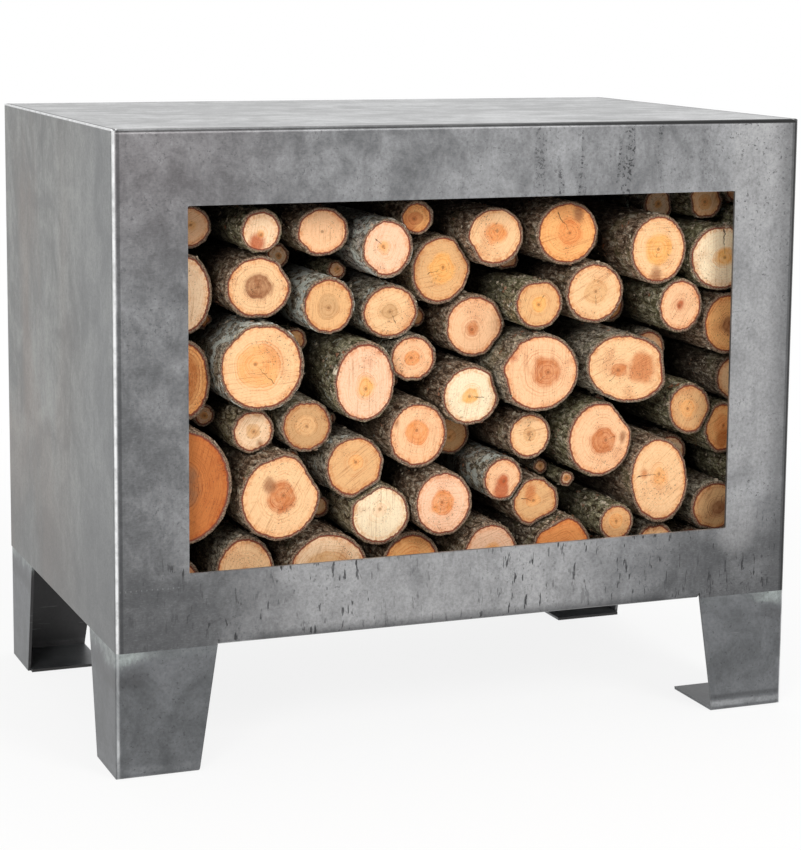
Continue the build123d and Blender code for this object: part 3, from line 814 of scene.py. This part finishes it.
def sawnWood():
    # cut face: pith, heart, rings, rays, saw marks, cracks, then the dark line under the bark
    wood = Finish("sawnWood")
    place = wood.place()
    u, level, _ = wood.parts(wood.add("ShaderNodeUVMap", uv_map="UVMap").outputs[0])
    heartSize, size, _ = wood.parts(wood.attribute("heartFacts", "Vector"))
    crackTurn, crackLength, sawTurn = wood.parts(wood.attribute("crackFacts", "Vector"))
    turn = wood.times(u, 2 * math.pi)
    out = wood.times(level, size)
    soft = wood.noise(place, 45, 3, 0.55)
    fine = wood.noise(place, 700, 2, 0.6)
    sway = wood.swayed(soft, 0.007)
    ringed = wood.plus(out, sway)

    heartEdge = wood.plus(wood.minus(level, heartSize), wood.swayed(soft, 0.42))
    heart = wood.step(heartEdge, 0.09, -0.07)
    sapWood = wood.attribute("woodTone", "Color")
    heartWood = wood.attribute("heartTone", "Color")
    heart = wood.times(heart, wood.step(wood.noise(place, 120, 4, 0.7), 0.3, 0.66, 0.65, 1.0))
    wood.colour = wood.blend(heart, sapWood, heartWood)
    knotTurn, knotShare, knotSize = wood.parts(wood.attribute("knotFacts", "Vector"))
    knotOut = wood.times(knotShare, size)
    knotX = wood.times(knotOut, wood.cosine(knotTurn))
    knotZ = wood.times(knotOut, wood.sine(knotTurn))
    knotRight = wood.minus(wood.times(out, wood.cosine(turn)), knotX)
    knotUp = wood.minus(wood.times(out, wood.sine(turn)), knotZ)
    upShare = wood.times(wood.times(knotUp, knotUp), 0.5)
    knotGap = wood.root(wood.plus(wood.times(knotRight, knotRight), upShare))
    knotEdge = wood.plus(wood.minus(knotGap, knotSize), wood.swayed(soft, 0.012))
    knot = wood.times(wood.step(knotEdge, 0.003, -0.004, 0.0, 0.85), wood.step(knotSize, 0.001, 0.002))
    wood.paint(knot, wood.attribute("knotTone", "Color"))
    # year rings, uneven in width
    inputs = {"W": wood.times(ringed, 620.0), "Scale": 1.0, "Detail": 2.0}
    rings = wood.add("ShaderNodeTexNoise", inputs, noise_dimensions="1D").outputs["Fac"]
    ringShare = wood.step(rings, 0.45, 0.66, 0.0, 0.6)
    ringShare = wood.times(ringShare, wood.step(heartEdge, 0.0, 0.35, 1.0, 0.3))
    ringShare = wood.times(ringShare, wood.step(wood.noise(place, 80, 3, 0.6), 0.35, 0.6, 0.25, 1.0))
    wood.paint(ringShare, heartWood, "MULTIPLY")
    # rays from the pith, and saw marks straight across
    rayX = wood.times(wood.cosine(turn), 26.0)
    rayZ = wood.times(wood.sine(turn), 26.0)
    rayPlace = wood.joined(rayX, rayZ, wood.times(level, 2.2))
    rays = wood.noise(rayPlace, 1.0, 3, 0.6)
    wood.paint(wood.step(rays, 0.5, 0.75, 0.0, 0.22), tint(190, 140, 92), "MULTIPLY")
    x, _, z = wood.parts(place)
    sawAcross = wood.minus(wood.times(x, wood.sine(sawTurn)), wood.times(z, wood.cosine(sawTurn)))
    sawAlong = wood.plus(wood.times(x, wood.cosine(sawTurn)), wood.times(z, wood.sine(sawTurn)))
    sawMarks = wood.noise(
        wood.joined(wood.times(sawAcross, 760.0), wood.times(sawAlong, 26.0)), 1.0, 2, 0.55)
    sawShare = wood.times(
        wood.step(sawMarks, 0.5, 0.74, 0.0, 0.5),
        wood.step(wood.noise(place, 38, 3, 0.6), 0.35, 0.6, 0.25, 1.0))
    wood.paint(sawShare, tint(180, 132, 92), "MULTIPLY")
    fibre = wood.noise(wood.joined(wood.times(sawAcross, 1500.0), wood.times(sawAlong, 240.0)), 1.0, 2, 0.6)
    wood.paint(wood.step(fibre, 0.52, 0.74, 0.0, 0.36), tint(196, 142, 98), "MULTIPLY")
    # weathered patches and dark specks
    patch = wood.noise(place, 30, 4, 0.6, 0.6)
    wood.paint(wood.step(patch, 0.5, 0.74, 0.0, 0.34), tint(196, 136, 84), "MULTIPLY")
    specks = wood.times(wood.step(fine, 0.6, 0.68), wood.step(patch, 0.44, 0.62, 0.2, 0.8))
    wood.paint(specks, tint(92, 66, 44))
    # one check crack from near the pith outwards
    swing = wood.minus(turn, crackTurn)
    aside = wood.plus(wood.times(out, wood.sine(swing)), wood.swayed(wood.noise(place, 160, 2, 0.6), 0.006))
    onward = wood.times(level, wood.cosine(swing))
    width = wood.step(onward, 0.1, 0.9, 0.0001, 0.0006)
    inCrack = wood.step(wood.minus(wood.unsigned(aside), width), 0.00035, -0.0002)
    beforeTip = wood.step(wood.minus(onward, crackLength), 0.04, -0.04)
    inCrack = wood.times(inCrack, wood.times(wood.step(onward, 0.08, 0.16), beforeTip))
    inCrack = wood.times(inCrack, wood.step(crackLength, 0.05, 0.1))
    wood.paint(wood.times(inCrack, 0.85), tint(62, 42, 28))
    pithSpot = wood.step(out, 0.0024, 0.0008)
    wood.paint(wood.times(pithSpot, 0.6), tint(120, 78, 46))
    # darker sapwood edge, the red-brown line and the bark
    inward = wood.minus(size, out)
    uneven = wood.swayed(wood.noise(place, 240, 3, 0.65), 0.0014)
    inward = wood.plus(inward, uneven)
    edgeShare = wood.step(wood.noise(place, 260, 3, 0.65), 0.4, 0.62, 0.1, 0.7)
    wood.paint(wood.times(edgeShare, wood.step(inward, 0.0095, 0.0045)), tint(222, 172, 126), "MULTIPLY")
    barkTone = wood.blend(wood.step(fine, 0.35, 0.65), tint(70, 52, 42), tint(150, 126, 104))
    wood.paint(wood.step(inward, 0.0042, 0.0034), tint(122, 60, 42))
    wood.paint(wood.step(inward, 0.0028, 0.0019), barkTone)

    height = wood.shares(rings, 0.5, sawMarks, 0.7)
    height = wood.minus(height, wood.times(inCrack, 3.0))
    return wood.close(0.78, wood.bump(height, 0.5, 0.0006), 0.0, 0.25)


def logBark():
    # furrowed bark with scales, a lighter skin in patches, and lichen where a log has it
    bark = Finish("logBark")
    place = bark.place()
    _, _, lichenShare = bark.parts(bark.attribute("heartFacts", "Vector"))
    tone = bark.attribute("barkTone", "Color")
    furrows = bark.noise(bark.stretched(place, (1, 0.34, 1)), 230, 5, 0.66, 0.6)
    inputs = {"Vector": bark.stretched(place, (1, 0.5, 1)), "Scale": 150.0}
    scales = bark.add("ShaderNodeTexVoronoi", inputs, feature="DISTANCE_TO_EDGE").outputs["Distance"]
    bark.colour = bark.blend(
        bark.step(furrows, 0.36, 0.62, 0.0, 0.9), bark.blend(1.0, tone, tint(104, 88, 74), "MULTIPLY"),
        tone)
    bark.paint(bark.step(furrows, 0.54, 0.64, 0.0, 0.8), tint(224, 212, 190))
    speckle = bark.noise(place, 620, 3, 0.7)
    bark.paint(bark.step(speckle, 0.5, 0.62, 0.0, 0.75), tint(44, 34, 27))
    bark.paint(bark.step(scales, 0.06, 0.0, 0.0, 0.6), tint(36, 28, 22))
    green = bark.step(bark.noise(place, 34, 4, 0.6, 0.4), 0.5, 0.66, 0.0, 0.28)
    bark.paint(green, tint(126, 124, 84))
    spread = bark.noise(place, 75, 5, 0.7, 0.5)
    edge = bark.minus(0.78, bark.times(lichenShare, 0.3))
    lichen = bark.step(bark.minus(spread, edge), -0.012, 0.03)
    bark.paint(bark.times(lichen, 0.9), bark.blend(furrows, tint(186, 196, 184), tint(240, 242, 236)))
    # painted shade: the bark darkens away from the cut end, where the logs lie in shadow deep in the box
    depth = bark.attribute("endDepth")
    bark.paint(bark.step(depth, 0.015, 0.085, 0.0, 0.72), tint(34, 28, 23))
    height = bark.plus(furrows, bark.step(scales, 0.0, 0.1, 0.0, 0.5))
    return bark.close(0.88, bark.bump(height, 0.9, 0.002), 0.0, 0.2)


def flakeBark():
    # the small loose scales at the rim of the bark
    flake = Finish("barkFlake")
    place = flake.place()
    flake.colour = flake.blend(
        flake.step(flake.noise(place, 120, 3, 0.6), 0.35, 0.65), tint(84, 66, 52), tint(206, 192, 170))
    flake.paint(flake.step(flake.noise(place, 46, 2, 0.5), 0.56, 0.66, 0.0, 0.7), tint(160, 98, 66))
    return flake.close(0.9, None, 0.0, 0.15)


flakeLook = {
    "Density": 9000.0, "Reach": 0.07, "Flake Width": 0.0032, "Flake Length": 0.0048,
    "Smallest": 0.5, "Largest": 1.7,
    "Curl": -160.0, "Most Turn": 0.5, "Least Tilt": -0.1, "Most Tilt": 0.5,
}


def flakeTree(material, look):
    # scatters bark flakes over the first stretch of a log's bark; ends in one real mesh
    tree = bpy.data.node_groups.new("barkFlakes", "GeometryNodeTree")
    face = tree.interface
    face.new_socket("Geometry", in_out="INPUT", socket_type="NodeSocketGeometry")
    for name in ("Front", *look):
        face.new_socket(name, in_out="INPUT", socket_type="NodeSocketFloat")
    face.new_socket("Seed", in_out="INPUT", socket_type="NodeSocketInt")
    face.new_socket("Geometry", in_out="OUTPUT", socket_type="NodeSocketGeometry")
    nodes = Nodes(tree)
    add = nodes.add
    given = add("NodeGroupInput").outputs
    # a small grid, curled across
    inputs = {0: given["Flake Width"], 1: given["Flake Length"], 2: 3, 3: 3}
    flake = add("GeometryNodeMeshGrid", inputs).outputs[0]
    x, y, _ = nodes.parts(add("GeometryNodeInputPosition").outputs[0])
    bend = nodes.joined(z=nodes.times(nodes.times(x, x), given["Curl"]))
    flake = add("GeometryNodeSetPosition", {"Geometry": flake, "Offset": bend}).outputs[0]
    inputs = {"Geometry": flake, "Name": "flake", "Value": 1.0}
    flake = add("GeometryNodeStoreNamedAttribute", inputs, data_type="FLOAT", domain="POINT").outputs[0]

    # only on the bark's rounds, and near the cut end
    _, lengthways, _ = nodes.parts(add("GeometryNodeInputNormal").outputs[0])
    endways = nodes.unsigned(lengthways)
    upright = add("FunctionNodeCompare", {0: endways, 1: 0.5}, operation="LESS_THAN").outputs[0]
    behind = nodes.minus(y, given["Front"])
    near = add("FunctionNodeCompare", {0: behind, 1: given["Reach"]}, operation="LESS_THAN").outputs[0]
    onBark = add("FunctionNodeBooleanMath", {0: upright, 1: near}, operation="AND").outputs[0]
    inputs = {
        "Mesh": given["Geometry"], "Selection": onBark, "Density": given["Density"], "Seed": given["Seed"]}
    points = add("GeometryNodeDistributePointsOnFaces", inputs).outputs
    inputs = {2: given["Smallest"], 3: given["Largest"], "Seed": given["Seed"]}
    size = add("FunctionNodeRandomValue", inputs, data_type="FLOAT").outputs[1]
    inputs = {2: nodes.times(given["Most Turn"], -1.0), 3: given["Most Turn"], "Seed": 3}
    turn = add("FunctionNodeRandomValue", inputs, data_type="FLOAT").outputs[1]
    inputs = {2: given["Least Tilt"], 3: given["Most Tilt"], "Seed": 5}
    tilt = add("FunctionNodeRandomValue", inputs, data_type="FLOAT").outputs[1]
    spin = nodes.joined(tilt, 0.0, turn)
    inputs = {0: points["Rotation"], 1: spin}
    rotation = add("FunctionNodeRotateRotation", inputs, rotation_space="LOCAL").outputs[0]
    inputs = {"Points": points["Points"], "Instance": flake, "Rotation": rotation, "Scale": size}
    flakes = add("GeometryNodeInstanceOnPoints", inputs).outputs[0]
    joined = add("GeometryNodeJoinGeometry")
    nodes.feed(joined.inputs[0], flakes)
    nodes.feed(joined.inputs[0], given["Geometry"])
    real = add("GeometryNodeRealizeInstances", {0: joined.outputs[0]}).outputs[0]
    marked = add("GeometryNodeInputNamedAttribute", {"Name": "flake"}, data_type="FLOAT").outputs[0]
    isFlake = add("FunctionNodeCompare", {0: marked, 1: 0.5}, operation="GREATER_THAN").outputs[0]
    inputs = {"Geometry": real, "Selection": isFlake, "Material": material}
    done = add("GeometryNodeSetMaterial", inputs).outputs[0]
    add("NodeGroupOutput", {0: done})
    return tree


def withFlakes(piece, tree, values):
    # runs the tree on a piece and keeps the result as its plain mesh
    modifier = piece.modifiers.new("flakes", "NODES")
    modifier.node_group = tree
    for socket in tree.interface.items_tree:
        if socket.item_type == "SOCKET" and socket.in_out == "INPUT" and socket.name in values:
            modifier[socket.identifier] = values[socket.name]
    evaluated = piece.evaluated_get(bpy.context.evaluated_depsgraph_get())
    mesh = bpy.data.meshes.new_from_object(evaluated)
    piece.modifiers.remove(modifier)
    piece.data = mesh


def spareLooks(count, seed):
    # looks for the logs that the photo hardly shows, in the order of logLooks' values
    picker = np.random.default_rng(seed)
    looks = []
    for _ in range(count):
        woodAndHeart = (spareWoods[picker.integers(5)], "amber", picker.uniform(0.2, 0.4))
        pithShift = picker.uniform(-0.2, 0.2, 2)
        sawTurn, bark = picker.uniform(0, 90), spareBarks[picker.integers(4)]
        looks.append((*woodAndHeart, *pithShift, 0, 0.0, sawTurn, bark, picker.uniform(0, 0.7)))
    return looks


def buildLogs():
    bark, wood = logBark(), sawnWood()
    tree = flakeTree(flakeBark(), flakeLook)
    names = [name for name in frame["nodes"] if name.startswith("log_")] + ["lodged_sticks", "side_logs"]
    for order, name in enumerate(sorted(names)):
        solids = looseParts(frame["nodes"][name])
        first, *others = name.split("_")
        title = first + "".join(part.capitalize() for part in others)
        if name.startswith("log_"):
            looks, knot = [logLooks[name[4:]]] * len(solids), logKnots.get(name[4:], noKnot)
            shape = logShape
        else:
            looks, knot = spareLooks(len(solids), len(name)), noKnot
            shape = dict(logShape, around=logShape["aroundGrouped"])
        mesh = logMesh(title, solids, looks, knot, shape)
        mesh.materials.append(bark)
        mesh.materials.append(wood)
        piece = bpy.data.objects.new(title, mesh)
        bpy.context.collection.objects.link(piece)
        front = min(points[:, 1].min() for points in solids)
        withFlakes(piece, tree, {**flakeLook, "Front": float(front), "Seed": order + 1})
        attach(piece, name if name in frame["bodies"] else "box")
        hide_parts(name)
    print("logs made:", len(names), "pieces")


buildLogs()
